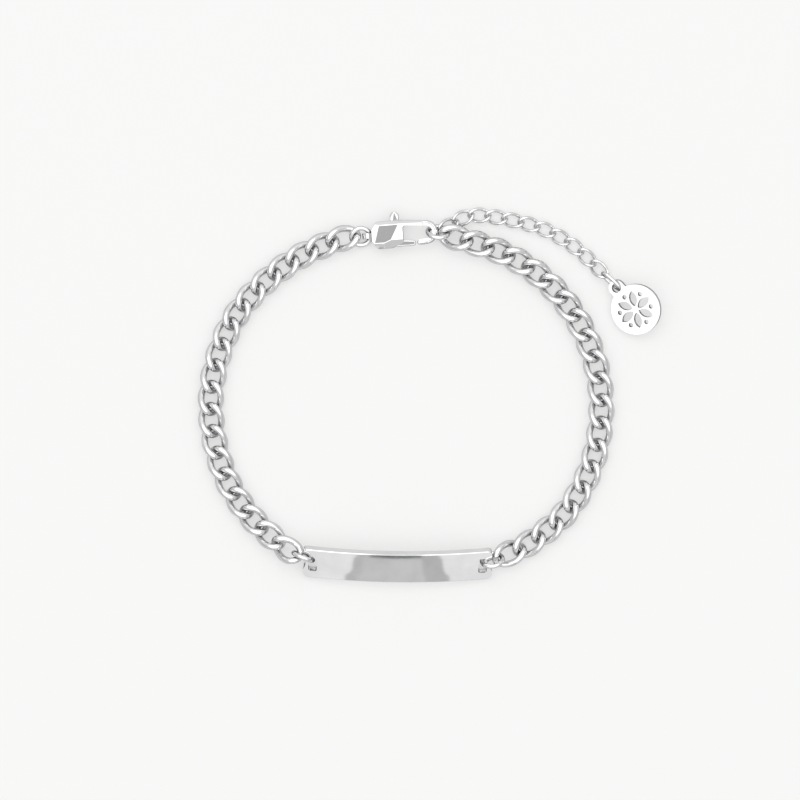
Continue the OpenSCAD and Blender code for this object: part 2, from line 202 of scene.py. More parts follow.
# %% Pull a skin over blocks and rods
def block(low, high):
    """A block between two corners."""
    size = Vector(high) - Vector(low)
    bpy.ops.object.select_all(action="DESELECT")
    bpy.ops.mesh.primitive_cube_add(size=1, location=(Vector(low) + Vector(high)) / 2)
    piece = bpy.context.object
    piece.scale = size
    bpy.ops.object.transform_apply(location=True, rotation=True, scale=True)
    return piece


def rod(middle, radius, length, axis="Z", sides=64):
    """A round rod along Y or Z."""
    turn = {"Y": (math.pi / 2, 0, 0), "Z": (0, 0, 0)}[axis]
    bpy.ops.object.select_all(action="DESELECT")
    bpy.ops.mesh.primitive_cylinder_add(vertices=sides, radius=radius, depth=length,
                                        location=middle, rotation=turn)
    bpy.ops.object.transform_apply(location=True, rotation=True, scale=True)
    return bpy.context.object


def hull(*parts):
    """One convex skin round all the parts."""
    bpy.ops.object.select_all(action="DESELECT")
    for part in parts:
        part.select_set(True)
    bpy.context.view_layer.objects.active = parts[0]
    bpy.ops.object.join()
    piece = bpy.context.object
    bpy.ops.object.mode_set(mode="EDIT")
    bpy.ops.mesh.select_all(action="SELECT")
    bpy.ops.mesh.convex_hull()
    bpy.ops.mesh.select_all(action="SELECT")
    bpy.ops.mesh.dissolve_limited(angle_limit=math.radians(0.5))
    done()
    return piece


print("hulls ready")

# %% [markdown]
# ## Shader nodes
# A material is a graph of nodes, each with sockets for its inputs. By hand one adds a node from a menu
# and types its numbers in. Here one helper does both, because the silver, the table and the room are all
# made of such nodes.

# %% Add a node and set its inputs
def node(tree, kind, **inputs):
    """Adds a shader node. An input named From_Min stands for the socket From Min."""
    made = tree.nodes.new(kind)
    for name, value in inputs.items():
        made.inputs[name.replace("_", " ")].default_value = value
    return made


print("node helper ready")

# %% [markdown]
# ## Polished silver
# Polished silver is nearly a mirror, so it shows the studio more than itself: white softbox, grey walls,
# dark gaps between links. What sets it apart from a perfect mirror is slight: the polishing wheel leaves
# a soft waviness and hair-fine lines, and the tint and gloss drift a little from place to place.
# Those come from noise on Object coordinates, through roughness, colour and a very low bump. An image of
# scratches would do too, but noise has no seams and suits a link and a plate alike.
# No wheel reaches in between the links, so the silver is more satin where surfaces are close together.
# There its colour is also darkened, which is painted shade. An Ambient Occlusion node measures that
# nearness, from any side that one looks.

# %% Make the silver
light_tint, dark_tint, edge_tint = (0.83, 0.83, 0.835, 1), (0.77, 0.77, 0.78, 1), (0.35, 0.35, 0.36, 1)
wheel_mark = 0.00001
hollow_width = 0.001


def silver(name, gloss, wave, gap_shade=0.42):
    """Silver with its gloss from least to most rough, its waviness, and how dark its painted gap shade gets.
    """
    material = bpy.data.materials.new(name)
    material.use_nodes = True
    tree = material.node_tree
    shader = tree.nodes["Principled BSDF"]
    shader.inputs["Metallic"].default_value = 1
    shader.inputs["Specular Tint"].default_value = edge_tint
    place = node(tree, "ShaderNodeTexCoord")
    drift = node(tree, "ShaderNodeTexNoise", Scale=260, Detail=3, Roughness=0.5)
    tint = node(tree, "ShaderNodeValToRGB")
    for stop, position, colour in zip(tint.color_ramp.elements, (0.35, 0.6), (dark_tint, light_tint)):
        stop.position, stop.color = position, colour
    stretch = node(tree, "ShaderNodeMapping")
    stretch.inputs["Scale"].default_value = (900, 9000, 9000)
    lines = node(tree, "ShaderNodeTexNoise", Scale=1, Detail=4, Roughness=0.6)
    polish = node(tree, "ShaderNodeMapRange", From_Min=0.3, From_Max=0.7, To_Min=gloss[0], To_Max=gloss[1])
    wheel = node(tree, "ShaderNodeTexNoise", Scale=700, Detail=2, Roughness=0.4)
    bump = node(tree, "ShaderNodeBump", Strength=wave, Distance=wheel_mark)
    nearness = node(tree, "ShaderNodeAmbientOcclusion", Distance=hollow_width)
    nearness.samples = 6
    # Painted shade: the base colour is multiplied down where surfaces are close together, as between links.
    painted_gap_shade = node(tree, "ShaderNodeMapRange", From_Min=0.15, From_Max=0.7, To_Min=gap_shade)
    satin = node(tree, "ShaderNodeMapRange", From_Min=0.15, From_Max=0.7, To_Min=0.3, To_Max=0)
    roughness = node(tree, "ShaderNodeMath")
    shade = node(tree, "ShaderNodeMix")
    shade.data_type, shade.blend_type = "RGBA", "MULTIPLY"
    shade.inputs["Factor"].default_value = 1
    connect = tree.links.new
    connect(place.outputs["Object"], drift.inputs["Vector"])
    connect(drift.outputs["Fac"], tint.inputs["Fac"])
    connect(nearness.outputs["AO"], painted_gap_shade.inputs["Value"])
    connect(tint.outputs["Color"], shade.inputs["A"])
    connect(painted_gap_shade.outputs["Result"], shade.inputs["B"])
    connect(shade.outputs["Result"], shader.inputs["Base Color"])
    connect(place.outputs["Object"], stretch.inputs["Vector"])
    connect(stretch.outputs["Vector"], lines.inputs["Vector"])
    connect(lines.outputs["Fac"], polish.inputs["Value"])
    connect(nearness.outputs["AO"], satin.inputs["Value"])
    connect(polish.outputs["Result"], roughness.inputs[0])
    connect(satin.outputs["Result"], roughness.inputs[1])
    connect(roughness.outputs["Value"], shader.inputs["Roughness"])
    connect(place.outputs["Object"], wheel.inputs["Vector"])
    connect(wheel.outputs["Fac"], bump.inputs["Height"])
    connect(bump.outputs["Normal"], shader.inputs["Normal"])
    return material


wire_silver = silver("wire_silver", gloss=(0.03, 0.07), wave=0.08)
plate_silver = silver("plate_silver", gloss=(0.03, 0.07), wave=0.05, gap_shade=0.85)
clasp_silver = silver("clasp_silver", gloss=(0.05, 0.07), wave=0.12)
tag_silver = silver("tag_silver", gloss=(0.1, 0.2), wave=0.15)
print("materials:", wire_silver.name, plate_silver.name, clasp_silver.name, tag_silver.name)

# %% [markdown]
# ## Handing a piece over
# A finished piece gets its name and its silver here. It also says which CAD node it stands for, so that
# the node is hidden, and which body it moves with: the bracelet, or the clasp's lever.

# %% Hand a finished piece over
def hand_over(piece, name, material, replaced, body="bracelet"):
    """Gives a piece its name, its silver, its CAD node and its body."""
    piece.name = name
    piece.data.name = name
    piece.data.materials.clear()
    piece.data.materials.append(material)
    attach(piece, body)
    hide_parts(replaced)
    return piece


print("ready to model")

# %% [markdown]
# ## One curb link
# A curb link is an oblong loop of round wire whose ends are twisted against each other, so that the
# chain lies flat although each link hooks through the next. It is made as a jeweller makes it: bend an
# oblong, and then twist it.
# A line is bent first and gets its wire after the twist, because twisting a finished tube would squash
# its round section. Longer handles on the Bezier circle make its corners a little fuller than an
# ellipse's, which is how bent wire lies.

# %% Bend an oblong line and twist it
def oblong_line(half_length, half_width, squareness=1.203, points=18):
    """A closed line, whose squareness lengthens the handles of an ellipse."""
    bpy.ops.object.select_all(action="DESELECT")
    bpy.ops.curve.primitive_bezier_circle_add(radius=1)
    line = bpy.context.object
    line.data.resolution_u = points
    for knot in line.data.splines[0].bezier_points:
        knot.handle_left_type = knot.handle_right_type = "FREE"
        for handle in ("handle_left", "handle_right"):
            setattr(knot, handle, knot.co + (getattr(knot, handle) - knot.co) * squareness)
    line.scale = (half_length, half_width, 1)
    bpy.ops.object.transform_apply(location=False, rotation=False, scale=True)
    bpy.ops.object.convert(target="MESH")
    return bpy.context.object


def wire_along(line, wire, sides=16):
    """Round wire along a closed line."""
    only(line)
    bpy.ops.object.convert(target="CURVE")
    curve = bpy.context.object
    curve.data.dimensions = "3D"
    curve.data.bevel_depth = wire / 2
    curve.data.bevel_resolution = sides // 2 - 2
    bpy.ops.object.convert(target="MESH")
    outwards(bpy.context.object)
    return bpy.context.object


def curb_link(half_length, half_width, wire, twist=48, points=18, sides=16):
    """A link whose ends are each twisted by so many degrees, all links to the same hand."""
    line = oblong_line(half_length, half_width, points=points)
    apply(line, "SIMPLE_DEFORM", deform_method="TWIST", deform_axis="X", angle=math.radians(2 * twist))
    highest = max(line.data.vertices, key=lambda v: v.co.z * (1 if v.co.y > 0 else -1))
    if highest.co.x > 0:
        line.data.transform(Matrix.Diagonal((1, 1, -1, 1)))
    return wire_along(line, wire, sides)


link_a, link_b, link_wire = 2.3, 1.515, 1.0
curb_pattern = curb_link(link_a, link_b, link_wire)
print("curb link faces:", len(curb_pattern.data.polygons))

# %% [markdown]
# ## Two chains of copies
# Every curb link is the same link in another place. The CAD link is symmetrical about three axes, so
# the directions in which its points spread most, next and least are its length, width and depth. They
# give the place of the copy, and its length says how far the copy is stretched to fit. Typing 39 places
# in by hand would go wrong as soon as the chain changed.

# %% Lay a copy over each CAD link
def lie_of(points):
    """A matrix with X along a link, Y across it and Z through it, and its half length."""
    points = np.unique(np.round(points, 8), axis=0)
    middle = points.mean(0)
    _, axes = np.linalg.eigh(np.cov((points - middle).T))
    along, across = axes[:, 2], axes[:, 1]
    through = np.cross(along, across)
    reach = np.abs((points - middle) @ along).max()
    place = Matrix(np.column_stack([along, across, through]).tolist()).to_4x4()
    return Matrix.Translation(Vector(middle)) @ place, reach / MM


def points_of(thing):
    """The points of a mesh, as rows of metres."""
    return np.array([v.co for v in thing.data.vertices], float)


def copy_of(pattern):
    """A copy with a mesh of its own."""
    copy = pattern.copy()
    copy.data = pattern.data.copy()
    bpy.context.scene.collection.objects.link(copy)
    return copy


chain_names = [name for name in nodes if name.startswith("link_")]
for name in chain_names:
    place, reach = lie_of(points_of(nodes[name]))
    link = copy_of(curb_pattern)
    stretch = (reach - link_wire / 2) / link_a
    settle(link, place @ Matrix.Diagonal((stretch, 1, 1, 1)))
    hand_over(link, "curb_" + name, wire_silver, name)
bpy.data.objects.remove(curb_pattern)
print("curb links:", len(chain_names))

# %% [markdown]
# ## The extender chain
# Its links are the same shape in thinner wire. In the CAD model they are one node of loose loops, so a
# copy of that node is merged and parted into its loops, to read where each one lies. The new links are
# joined to one piece in the same way.

# %% Lay the fine links and join them
def loose_parts(cad_node):
    """Copies of the separate loops of a CAD node."""
    copy = copy_of(cad_node)
    copy.parent = None
    only(copy)
    bpy.ops.object.mode_set(mode="EDIT")
    bpy.ops.mesh.select_all(action="SELECT")
    bpy.ops.mesh.remove_doubles(threshold=1e-7)
    bpy.ops.mesh.separate(type="LOOSE")
    done()
    return list(bpy.context.selected_objects)


fine_wire, fine_a, fine_b = 0.46, 1.59, 0.97
fine_pattern = curb_link(fine_a, fine_b, fine_wire, points=14, sides=12)
fine_links = []
for loop in loose_parts(nodes["extender_chain"]):
    place, reach = lie_of(points_of(loop))
    bpy.data.objects.remove(loop)
    link = copy_of(fine_pattern)
    settle(link, place @ Matrix.Diagonal(((reach - fine_wire / 2) / fine_a, 1, 1, 1)))
    fine_links.append(link)
bpy.data.objects.remove(fine_pattern)
bpy.ops.object.select_all(action="DESELECT")
for link in fine_links:
    link.select_set(True)
bpy.context.view_layer.objects.active = fine_links[0]
bpy.ops.object.join()
hand_over(bpy.context.object, "extender_links", wire_silver, "extender_chain")
print("extender links:", len(fine_links))

# %% [markdown]
# ## Jump rings
# A jump ring is a turn of wire cut from a coil and closed again. Its join stays visible as a hair line,
# which is a shallow groove here: two cuts close together, with the strip between them drawn inwards.
# A torus is the right start for it, since a ring that is spun from a circle would come out the same.

# %% Make the four jump rings
seam_half, seam_depth = 0.02, 0.025


def jump_ring(outer, wire, seam):
    """A ring of wire, with its join so many degrees round from X."""
    bpy.ops.object.select_all(action="DESELECT")
    bpy.ops.mesh.primitive_torus_add(major_radius=(outer - wire) / 2, minor_radius=wire / 2,
                                     major_segments=72, minor_segments=18)
    ring = bpy.context.object
    side = Vector((math.cos(math.radians(seam)), math.sin(math.radians(seam)), 0))
    across = Vector((-side.y, side.x, 0))
    only(ring)
    for offset in (-seam_half, seam_half):
        bpy.ops.object.mode_set(mode="EDIT")
        bpy.ops.mesh.select_all(action="SELECT")
        bpy.ops.mesh.bisect(plane_co=across * offset, plane_no=across, threshold=0.0001)
        done()
    pick(ring, "FACE", lambda c, n: abs(c.dot(across)) < seam_half * 0.75 and c.dot(side) > 0)
    bpy.ops.transform.shrink_fatten(value=-seam_depth)
    done()
    return ring


def plane_of(points):
    """A matrix that sets a ring down where flat points lie, with its Z standing on them."""
    middle = (points.max(0) + points.min(0)) / 2
    _, axes = np.linalg.eigh(np.cov((points - middle).T))
    normal = Vector(axes[:, 0])
    turned = Vector((0, 0, 1)).rotation_difference(normal).to_matrix().to_4x4()
    return Matrix.Translation(Vector(middle)) @ turned


ring_wire, ring_d, clasp_ring_d = 0.7, 3.85, 3.6
rings = {"plate_ring_left": (ring_d, 120), "plate_ring_right": (ring_d, 60),
         "clasp_ring": (clasp_ring_d, 140), "end_ring": (ring_d, 320)}
for name, (outer, seam) in rings.items():
    ring = settle(jump_ring(outer, ring_wire, seam), plane_of(points_of(nodes[name])), angle=40)
    hand_over(ring, "soldered_" + name, wire_silver, name)
print("jump rings:", len(rings))

# %% [markdown]
# ## The tag's oval ring
# The ring between the last fine link and the tag is oval, so that it can't turn its join into the tag.
# It is the same bent line as a curb link's, left flat.

# %% Make the oval ring
oval_l, oval_w, oval_wire = 4.1, 2.5, 0.55
tag_ring = wire_along(oblong_line((oval_l - oval_wire) / 2, (oval_w - oval_wire) / 2), oval_wire)
tag_ring_place, _ = lie_of(points_of(nodes["tag_ring"]))
hand_over(settle(tag_ring, tag_ring_place, angle=40), "oval_tag_ring", wire_silver, "tag_ring")
print("oval ring faces:", len(tag_ring.data.polygons))

# %% [markdown]
# ## The name plate
# The plate is a bar with softened front edges, bowed to the wrist. Its section is drawn once and spun
# about the bow's centre, which leaves even strips that mirror cleanly. A cube bent with a modifier would
# do as well, but its faces would stretch unevenly, and a mirror shows that.

# %% Spin the bar
plate_l, plate_h, plate_t, bow = 29.2, 5.35, 1.05, 88.0
front_bevel = 0.1
half_turn = plate_l / 2 / bow
bow_y = bow * math.cos(half_turn)
bpy.ops.object.select_all(action="DESELECT")
bpy.ops.mesh.primitive_plane_add(size=1, rotation=(0, math.pi / 2, 0))
plate = bpy.context.object
plate.scale = (plate_h, plate_t, 1)
plate.location = (0, -bow + plate_t / 2, 0)
bpy.ops.object.transform_apply(location=True, rotation=True, scale=True)
pick(plate, "VERT", lambda c, n: c.y < -bow + 0.01)
bpy.ops.mesh.bevel(offset=front_bevel, affect="VERTICES")
bpy.ops.mesh.select_all(action="SELECT")
bpy.ops.mesh.spin(steps=40, angle=2 * half_turn, center=(0, 0, 0), axis=(0, 0, 1))
done()
far_end_x = max((v.co.x for v in plate.data.vertices), key=abs)
turn_back = Matrix.Rotation(-math.copysign(half_turn, far_end_x), 4, "Z")
plate.data.transform(Matrix.Translation((0, bow_y, 0)) @ turn_back)
outwards(plate)
print("bar faces:", len(plate.data.polygons))

# %% [markdown]
# ## The plate's slots
# At each end a jump ring goes through a slot, and a hollow in the plate's end gives the ring room to
# swing. Both are cut as a saw and file would cut them, with rods and hulls for cutters, and so are the
# rounded corners: an intersection keeps only what lies inside its cutter. A flat outline, thickened,
# would have its holes from the start, but the bow would then have to be bent into it.

# %% Cut the corners, slots and hollows
saw_length = 12


def upright_cut(width, height, corner, x=0):
    """A cutter that goes through the plate from front to back, with rounded corners."""
    return hull(*(rod((x + sx * (width / 2 - corner), 0, sz * (height / 2 - corner)), corner, saw_length,
                      "Y", 48) for sx in (-1, 1) for sz in (-1, 1)))


corner_r, slot_w, slot_h, slot_corner, slot_bar = 0.8, 1.3, 2.7, 0.3, 0.88
hollow_r, hollow_depth = 2, 0.45
spare = 0.004
combine(plate, upright_cut(2 * bow * math.sin(half_turn), plate_h + spare, corner_r), "INTERSECT")
slot_x = plate_l / 2 - slot_bar - slot_w / 2
hollow_x = plate_l / 2 + hollow_r - hollow_depth
for side in (-1, 1):
    combine(plate, upright_cut(slot_w, slot_h, slot_corner, side * slot_x), "DIFFERENCE")
    combine(plate, rod((side * hollow_x, 0, 0), hollow_r, saw_length, "Y", 96), "DIFFERENCE")
soften(plate, 0.06, steps=3, angle=25)
print("plate cut:", len(plate.data.polygons))

# %% [markdown]
# ## The plate's crown
# No wheel leaves a face quite flat: it stands a twentieth of a millimetre higher along its middle, and
# that spreads the mirrored room over the face. The long strips are cut across ten times, and each point
# is then moved out by a share of the crown that fades towards the edges and towards the slots.

# %% Crown its face and set it down
crown, crown_end, crown_fade = 0.05, 10.6, 2
strips = pick(plate, "FACE", lambda c, n: n.y < -0.97 and abs(c.x) < crown_end and abs(c.z) < 0.5)
bpy.ops.mesh.subdivide(number_cuts=9)
done()
for point in plate.data.vertices:
    x, y, z = point.co
    if point.select and abs(x) < crown_end:
        fade = min(1, (crown_end - abs(x)) / crown_fade)
        rise = crown * (1 - (2 * z / plate_h) ** 2) * fade * fade * (3 - 2 * fade)
        out = Vector((x, y - bow_y)).normalized() * (bow + rise)
        point.co = (out.x, out.y + bow_y, z)
print("strips crowned:", strips)
lean, swing = 53, 0.7
settle(plate, place_of(-1.3, -25.4, 2.4484, ("X", -lean), ("Z", -swing)))
hand_over(plate, "name_plate", plate_silver, "id_plate")
print("plate faces:", len(plate.data.polygons))

# %% [markdown]
# ## The lobster clasp
# The clasp's body is a block that thins towards a hook. A real one is cast in one piece and filed, but
# here the block and the hook are made apart and joined later, because each has its own section. The block
# is a hull, a skin pulled tight over rods and a block, and it is sawn off where the hook begins.
# Everything is in the clasp's own frame, with X towards the hook, Y towards the thumb piece and Z
# through it, so that its sizes can be typed in along the axes.

# %% Draw the clasp's block
clasp_place = place_of(-0.2, 25.4, 1.5491, ("Y", -2.8), ("Z", 4))
end_x, hook_x, window_x = -5.1, 3.25, -0.25
clasp_t, half_h, hook_t, hook_r, window_r = 2.6, 2.1, 0.75, 1.85, 1.01
corner, end_half_h, end_taper = 0.5, 0.75, 0.65
back_rods = [rod((end_x + x, side * y, 0), corner, clasp_t) for side in (-1, 1)
             for x, y in ((corner, end_half_h), (corner + end_taper, half_h - corner))]
body = hull(*back_rods,
            block((window_x - 0.1, -half_h, -clasp_t / 2), (window_x, half_h, clasp_t / 2)),
            rod((hook_x, 0, 0), hook_r, clasp_t, sides=96))
block_end_x = hook_x - 0.35
halve(body, (block_end_x, 0, 0), (1, 0, 0))
print("clasp block faces:", len(body.data.polygons))

# %% [markdown]
# ## The clasp's facets
# The clasp catches the light with its flats: a bevel along each long side, a facet at the end and a slope
# down to the hook. Each flat is a plane, known by a point on it and the way it faces, and a bisect cuts
# off what stands out beyond it. A Bevel modifier alone gives flats of one width, while these widen and
# narrow as a file leaves them. It is used after them, to break the edges.

# %% File its facets
facets = {"slope beside the window": ((-1.63, 0, 1.3), (0.241, -0.129, 1)),
          "end facet": ((-4.33, 0, 1.3), (-0.275, 0.082, 1)),
          "bevel on the thumb's side": ((0, 2.1, 0.85), (0, 0.73, 1)),
          "its run along the slope": ((0.5, 1.5, 0.98), (0.2525, 0.73, 1)),
          "bevel on the gate's side": ((0, -2.1, 0.85), (0, -0.53, 1)),
          "its run to the window": ((-0.25, -0.85, 0.857), (0.241, -0.6, 1))}
for point, slope in facets.values():
    file_both(body, point, slope)
outwards(body)
soften(body, 0.09, steps=3, angle=9)
print("filed:", ", ".join(facets))

# %% [markdown]
# ## The clasp's window
# The window is the hole that the caught link lies in. It is round at the hook, and at the block it has
# two small round corners, so a hull of three rods is its cutter. A second cut opens the frame on the
# gate's side. The lever closes that gap later.

# %% Saw the window and the gap for the gate
through = 4
window_corner, window_corner_y, rail_y = 0.4, 0.8, -0.6
window = hull(rod((hook_x, 0, 0), window_r, through, sides=64),
              *(rod((window_x + window_corner, side * window_corner_y, 0), window_corner, through)
                for side in (-1, 1)))
combine(body, window, "DIFFERENCE")
combine(body, block((window_x, -2 * half_h, -through / 2), (hook_x, rail_y, through / 2)), "DIFFERENCE")
print("window sawn:", len(body.data.polygons))

# %% [markdown]
# ## The hook's section
# The hook is a bar of six flats, as wide as the frame round the window and thinner than the block. Its
# section starts as a circle of six points, pressed flat. The upper and lower points are then moved
# outwards and cut to narrow ridges, the outer side is drawn in and the inner one is widened. A curve with
# a bevel could carry the section too, but the ends of a spun bar can be picked and drawn out further.

# %% Draw the bar's section
bar_y, bar_w = (hook_r + window_r) / 2, hook_r - window_r
ridge_shift, ridge_w = 0.08, 0.09
bpy.ops.object.select_all(action="DESELECT")
bpy.ops.mesh.primitive_circle_add(vertices=6, radius=1, fill_type="NGON", location=(hook_x, bar_y, 0),
                                  rotation=(math.pi / 2, 0, math.pi / 2))
hook = bpy.context.object
hook.scale = (bar_w / math.sqrt(3), hook_t / 2, 1)
bpy.ops.object.transform_apply(location=True, rotation=True, scale=True)
pick(hook, "VERT", lambda c, n: abs(c.z) > 0.3)
bpy.ops.transform.translate(value=(0, ridge_shift, 0))
bpy.ops.mesh.bevel(offset=ridge_w, affect="VERTICES")
done()
for side, widening in ((1, 0.55), (-1, 1.55)):
    pick(hook, "VERT", lambda c, n: abs(c.z) < 0.3 and (c.y - bar_y) * side > 0)
    bpy.ops.transform.resize(value=(1, 1, widening), center_override=(hook_x, bar_y, 0))
    done()
print("corners of the section:", len(hook.data.vertices))

# %% [markdown]
# ## The hook's sweep and tip
# Spin carries the section half a turn about the hook's middle. One end is then drawn back into the block,
# and the other out to the tip that the gate meets. The tip gets shorter and thinner in a few steps, which
# rounds it bluntly. A union with the block comes last, when both are filed.

# %% Spin the hook and draw its tip out
pick(hook, "FACE", lambda c, n: True)
bpy.ops.mesh.spin(steps=40, angle=math.pi, center=(hook_x, 0, 0), axis=(0, 0, 1))
done()
shank = ((1.5, 1),)
tip = ((0.95, 1), (0.26, 0.86), (0.13, 0.6), (0.05, 0.25))
spread = 0.07
for side, draws in ((1, shank), (-1, tip)):
    for draw, shrink in draws:
        end = min(f.center.x for f in hook.data.polygons if f.center.y * side > 0)
        pick(hook, "FACE", lambda c, n: c.y * side > 0 and abs(n.x) > 0.9 and c.x < end + 0.001)
        step = (-draw, spread * draw * side, 0)
        bpy.ops.mesh.extrude_region_move(TRANSFORM_OT_translate={"value": step})
        bpy.ops.transform.resize(value=(1, shrink, shrink), center_override=(0, side * (bar_y + spread), 0))
        done()
outwards(hook)
soften(hook, 0.04, steps=2, angle=12)
print("hook faces:", len(hook.data.polygons), "from", round(min(v.co.x for v in hook.data.vertices), 2))
combine(body, hook, "UNION")

# %% [markdown]
# ## The clasp's eye and pocket
# The clasp's jump ring goes through an eye, a round tab on the block's end. The block is hollow in its
# middle, so that the lever can turn in it: one pocket opens to the gate's side and one, wider at its
# mouth, lets the thumb nub swing. The pin's hole is drilled from the back and ends just under the face,
# which stays whole. The eye's hole comes last, through the tab and the block's end.

# %% Solder the eye on, saw the pocket and drill
pivot, pin_r, pin_fit = (-1.9, -0.8), 0.35, 0.02
eye_x, eye_r, eye_hole_r, eye_w = -5.5, 1.02, 0.72, 0.85
eye = rod((eye_x, 0, 0), eye_r, eye_w, "Y", 64)
combine(eye, block((eye_x, -eye_w / 2, -eye_r), (eye_x + eye_r, eye_w / 2, eye_r)), "UNION")
combine(body, eye, "UNION")
pocket, mouth = 1.06 / 2, 2 * half_h
back_x, front_x, nub_front_x = -2.85, -0.15, -0.63
combine(body, block((back_x, -mouth, -pocket), (front_x, -0.15, pocket)), "DIFFERENCE")
combine(body, hull(block((back_x, -0.8, -pocket), (nub_front_x, -0.7, pocket)),
                   block((-4.2, mouth - 0.1, -pocket), (nub_front_x, mouth, pocket))), "DIFFERENCE")
combine(body, rod((*pivot, -0.8), pin_r + pin_fit, 3.5, sides=48), "DIFFERENCE")
combine(body, rod((eye_x, 0, 0), eye_hole_r, through, "Y", 64), "DIFFERENCE")
outwards(body)
settle(body, clasp_place)
hand_over(body, "clasp_frame", clasp_silver, "clasp_body")
print("clasp body faces:", len(body.data.polygons))

# %% [markdown]
# ## The lever
# The lever is one flat piece that turns on a pin in the body: a thumb nub outside the frame on one
# side, and on the other the gate that closes the gap in the frame. Both arms are hulls, softened before
# they join the boss round the pin, because a bevel goes wrong where three rounded forms meet. The doubles
# that a wide bevel leaves are merged before that, since a union can't close over them. Two shallow flats
# on each face of the nub leave a narrow wedge between them, which the thumb feels.

# %% Make the lever
lever_t = 0.9
half_t = lever_t / 2
thumb, thumb_r = (-1.42, 2.76), 0.68
gate_tip, gate_tip_r = (1.23, -1.53), 0.42
boss_r, bore_play = 0.8, 0.05
lever = rod((*pivot, 0), boss_r, lever_t)
nub = hull(block((-2.1, -0.85, -half_t), (-1.2, -0.75, half_t)),
           rod((*thumb, 0), thumb_r, lever_t, sides=32))
gate = hull(block((-1.9, -1.6, -half_t), (-1.3, -1.2, half_t)),
            block((-1.3, -1.95, -half_t), (-1.2, -0.9, half_t)),
            rod((*gate_tip, 0), gate_tip_r, lever_t, sides=32))
for side in (-1, 1):
    file_both(nub, (thumb[0] + side * 0.06, thumb[1] + 0.5, half_t), (side * 0.94, 0.35, 2.4))
outwards(nub)
soften(lever, 0.1)
soften(nub, 0.14, steps=3, angle=35)
soften(gate, 0.28, steps=4)
for arm in (nub, gate):
    outwards(arm)
    combine(lever, arm, "UNION")
combine(lever, rod((*pivot, 0), pin_r + bore_play, through, sides=48), "DIFFERENCE")
settle(lever, clasp_place)
hand_over(lever, "sprung_lever", clasp_silver, "clasp_lever", body="lever")
print("lever faces:", len(lever.data.polygons))

# %% [markdown]
# ## The lever's pin
# The pin is a plain rod with broken edges, pushed in from the back through the lever. It could be joined
# to the body, which it never leaves, but as a piece of its own it keeps a clean edge against it, and it
# shows what the lever turns on.

# %% Make the pin
pin_l, pin_z = 2.25, -0.175
pin = rod((*pivot, pin_z), pin_r, pin_l, sides=48)
soften(pin, 0.06)
settle(pin, clasp_place)
hand_over(pin, "lever_pin", clasp_silver, "clasp_rivet")
print("pin faces:", len(pin.data.polygons))

# %% [markdown]
# ## The tag
# The tag is a disc with an ear for the oval ring. The ear is a hull over a short rod and a block, so that
# its sides run straight into the disc. The rim is rounded at this point, before the piercing, because it
# is worn softer than the sawn edges will be.

# %% Cut the disc and its ear
tag_r, tag_t = 3.9, 0.8
ear_x, ear_r, ear_hole_r = 4.45, 1.22, 0.74
tag = rod((0, 0, 0), tag_r, tag_t, sides=128)
ear = hull(rod((ear_x, 0, 0), ear_r, tag_t), block((0, -ear_r, -tag_t / 2), (3.35, ear_r, tag_t / 2)))
combine(tag, ear, "UNION")
soften(tag, 0.17, steps=3)
combine(tag, rod((ear_x, 0, 0), ear_hole_r, through), "DIFFERENCE")
print("disc faces:", len(tag.data.polygons))

# %% [markdown]
# ## The tag's piercing
# The disc is pierced with a ring of petals and dots. Each petal is the lens where two round cutters
# overlap, so one width and one length give its whole outline. The sawn edges are only broken. An Array
# modifier could repeat the cutters, but a short loop can turn each one and cut with it at once.

# %% Pierce the disc
petals, tip_r, root_r, petal_w, dot_r = 6, 2.9, 0.5, 1.25, 0.36
half_petal = (tip_r - root_r) / 2
arc = (half_petal ** 2 + petal_w ** 2 / 4) / petal_w
petal_x, dot_x = root_r + half_petal, tip_r - dot_r
for i in range(petals):
    turn = math.radians(360 / petals * i)
    petal = rod((petal_x, arc - petal_w / 2, 0), arc, through, sides=128)
    combine(petal, rod((petal_x, petal_w / 2 - arc, 0), arc, through, sides=128), "INTERSECT")
    petal.data.transform(Matrix.Rotation(turn + math.pi / petals, 4, "Z"))
    combine(tag, petal, "DIFFERENCE")
    dot = rod((dot_x * math.cos(turn), dot_x * math.sin(turn), 0), dot_r, through, sides=32)
    combine(tag, dot, "DIFFERENCE")
soften(tag, 0.04, steps=2, angle=35)
settle(tag, place_of(35.3866, 13.7611, 1.71641, ("Z", 131), ("X", 9), ("Y", -18)))
hand_over(tag, "pierced_tag", tag_silver, "tag")
print("tag faces:", len(tag.data.polygons))

# %% [markdown]
# ## The table
# The photograph's ground is plain and nearly white, with soft pale shadows. A white sheet under strong
# light would do, but the silver would then mirror it at full strength, and the gaps between the links
# would turn white. So the sheet glows for the camera, and much less for a glossy ray, which is a ray that
# comes from a mirror. Its paper is whiter for such a ray, which then sees it mostly by the light that
# falls on it. The Light Path node tells the two apart.

# %% Lay a faintly lit pale sheet
below_part = 0.00002
camera_glow, mirror_glow = 0.49, 0.12
camera_paper, mirror_paper = (0.355, 0.355, 0.352, 1), (0.56, 0.56, 0.555, 1)
bpy.ops.object.select_all(action="DESELECT")
bpy.ops.mesh.primitive_plane_add(size=3, location=(0, 0, -below_part))
table = bpy.context.object
table.name = "table"
sheet = bpy.data.materials.new("lit_sheet")
sheet.use_nodes = True
sheet_nodes = sheet.node_tree
paper_shader = sheet_nodes.nodes["Principled BSDF"]
paper_shader.inputs["Roughness"].default_value = 0.9
paper_shader.inputs["Specular IOR Level"].default_value = 0.05
paper_shader.inputs["Emission Color"].default_value = (1, 1, 0.995, 1)
ray = node(sheet_nodes, "ShaderNodeLightPath")
glow = node(sheet_nodes, "ShaderNodeMapRange", To_Min=camera_glow, To_Max=mirror_glow)
paper = node(sheet_nodes, "ShaderNodeMix")
paper.data_type = "RGBA"
paper.inputs["A"].default_value, paper.inputs["B"].default_value = camera_paper, mirror_paper
